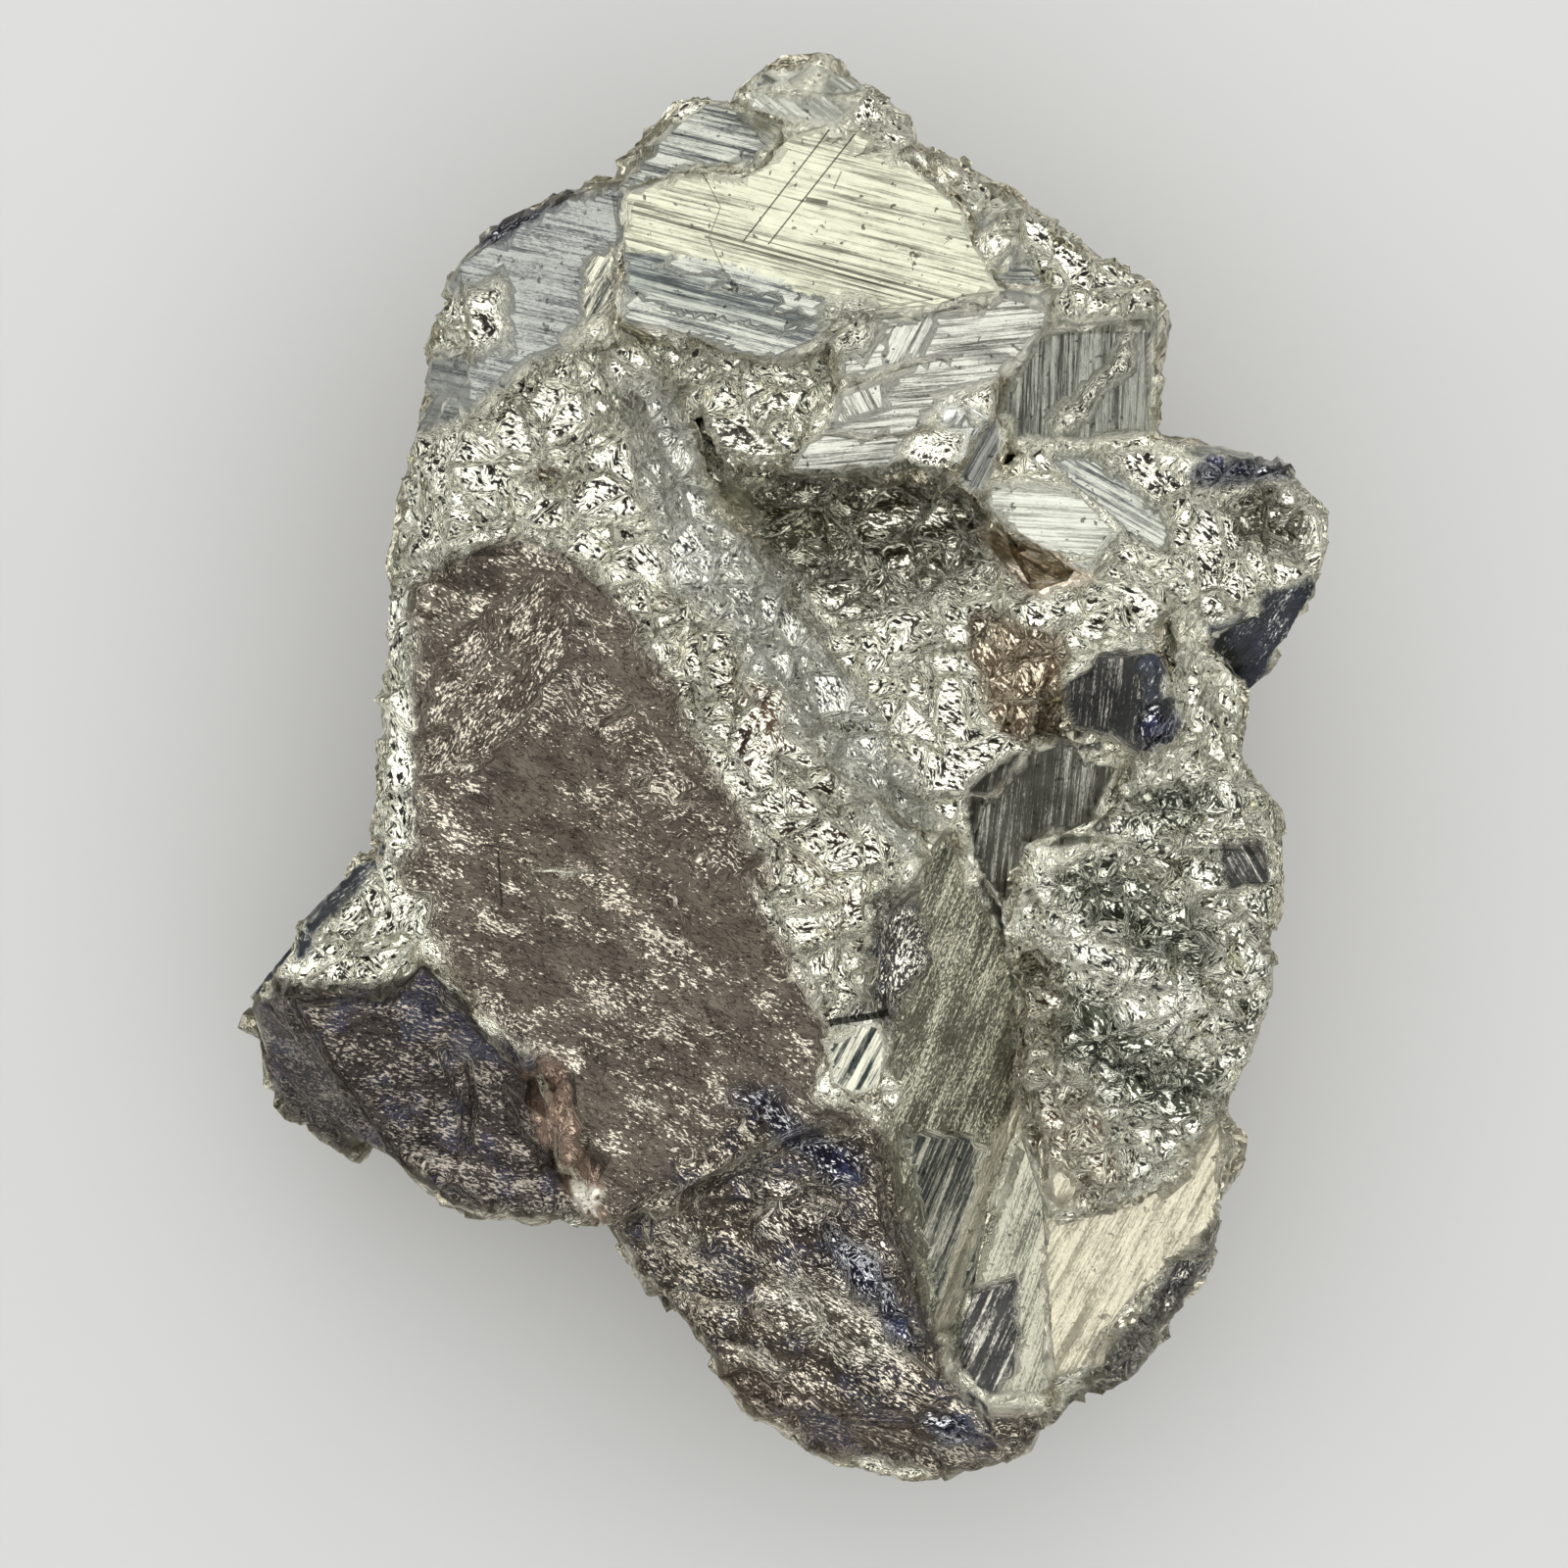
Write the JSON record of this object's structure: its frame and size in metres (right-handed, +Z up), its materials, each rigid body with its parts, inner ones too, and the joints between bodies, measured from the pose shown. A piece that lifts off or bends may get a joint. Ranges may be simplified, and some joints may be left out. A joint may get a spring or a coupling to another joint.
{
  "type": "pyrite specimen",
  "caption": "Intergrown pyrite mass with striated cube faces, a long groove, broken ledges and granular lumps, lying on a flat cube face as a display mineral.",
  "frame": {"origin": "centre of the bounding box in plan, at the height of the flat face that it rests on", "axes": "+Z up out of the crystal side, +Y along the specimen's length to its narrow summit, +X to the shoulder crystal"},
  "size_m": [0.0562, 0.0728, 0.0316],
  "materials": {
    "pyrite": "natural pyrite: bright striated cube faces, granular broken surfaces and a bronze tarnish"
  },
  "bodies": {
    "root": {"pyrite": "pyrite"}
  },
  "joints": []
}
